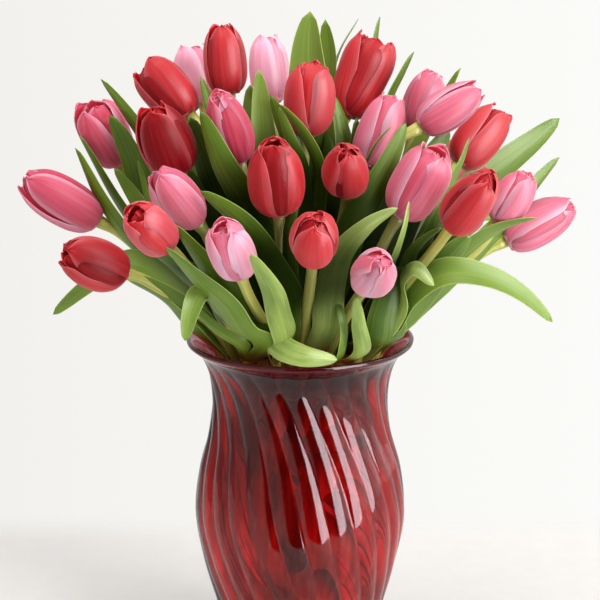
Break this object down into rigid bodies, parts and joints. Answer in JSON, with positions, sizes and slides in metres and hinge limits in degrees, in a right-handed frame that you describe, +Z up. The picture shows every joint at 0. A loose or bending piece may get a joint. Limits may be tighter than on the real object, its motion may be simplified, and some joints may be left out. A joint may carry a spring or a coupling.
{
  "type": "tulips in a vase",
  "caption": "Bouquet of pink and red tulips with long green leaves, standing in a swirl-ribbed ruby glass vase.",
  "frame": {"origin": "centre of the vase's flat underside", "axes": "+Z up, +X to the right seen from the front, +Y from the front to the back"},
  "size_m": [0.3201, 0.285, 0.405],
  "materials": {
    "ruby_glass": "gloss",
    "leaf_green": "satin",
    "petal_pink": "satin",
    "petal_red": "satin"
  },
  "bodies": {
    "root": {"vase": "ruby_glass", "tulip_01_stem": "leaf_green", "tulip_01_bloom": "petal_pink", "tulip_02_stem": "leaf_green", "tulip_02_bloom": "petal_red", "tulip_03_stem": "leaf_green", "tulip_03_bloom": "petal_pink", "tulip_04_stem": "leaf_green", "tulip_04_bloom": "petal_red", "tulip_05_stem": "leaf_green", "tulip_05_bloom": "petal_red", "tulip_06_stem": "leaf_green", "tulip_06_bloom": "petal_pink", "tulip_07_stem": "leaf_green", "tulip_07_bloom": "petal_red", "tulip_08_stem": "leaf_green", "tulip_08_bloom": "petal_pink", "tulip_09_stem": "leaf_green", "tulip_09_bloom": "petal_pink", "tulip_10_stem": "leaf_green", "tulip_10_bloom": "petal_red", "tulip_11_stem": "leaf_green", "tulip_11_bloom": "petal_pink", "tulip_12_stem": "leaf_green", "tulip_12_bloom": "petal_red", "tulip_13_stem": "leaf_green", "tulip_13_bloom": "petal_pink", "tulip_14_stem": "leaf_green", "tulip_14_bloom": "petal_red", "tulip_15_stem": "leaf_green", "tulip_15_bloom": "petal_red", "tulip_16_stem": "leaf_green", "tulip_16_bloom": "petal_pink", "tulip_17_stem": "leaf_green", "tulip_17_bloom": "petal_red", "tulip_18_stem": "leaf_green", "tulip_18_bloom": "petal_red", "tulip_19_stem": "leaf_green", "tulip_19_bloom": "petal_pink", "tulip_20_stem": "leaf_green", "tulip_20_bloom": "petal_pink", "tulip_21_stem": "leaf_green", "tulip_21_bloom": "petal_pink", "tulip_22_stem": "leaf_green", "tulip_22_bloom": "petal_pink", "tulip_23_stem": "leaf_green", "tulip_23_bloom": "petal_red", "tulip_24_stem": "leaf_green", "tulip_24_bloom": "petal_red", "tulip_25_stem": "leaf_green", "tulip_25_bloom": "petal_pink", "tulip_26_stem": "leaf_green", "tulip_26_bloom": "petal_pink", "tulip_27_stem": "leaf_green", "tulip_27_bloom": "petal_red", "tulip_28_stem": "leaf_green", "tulip_28_bloom": "petal_pink", "tulip_29_stem": "leaf_green", "tulip_29_bloom": "petal_red"}
  },
  "joints": []
}
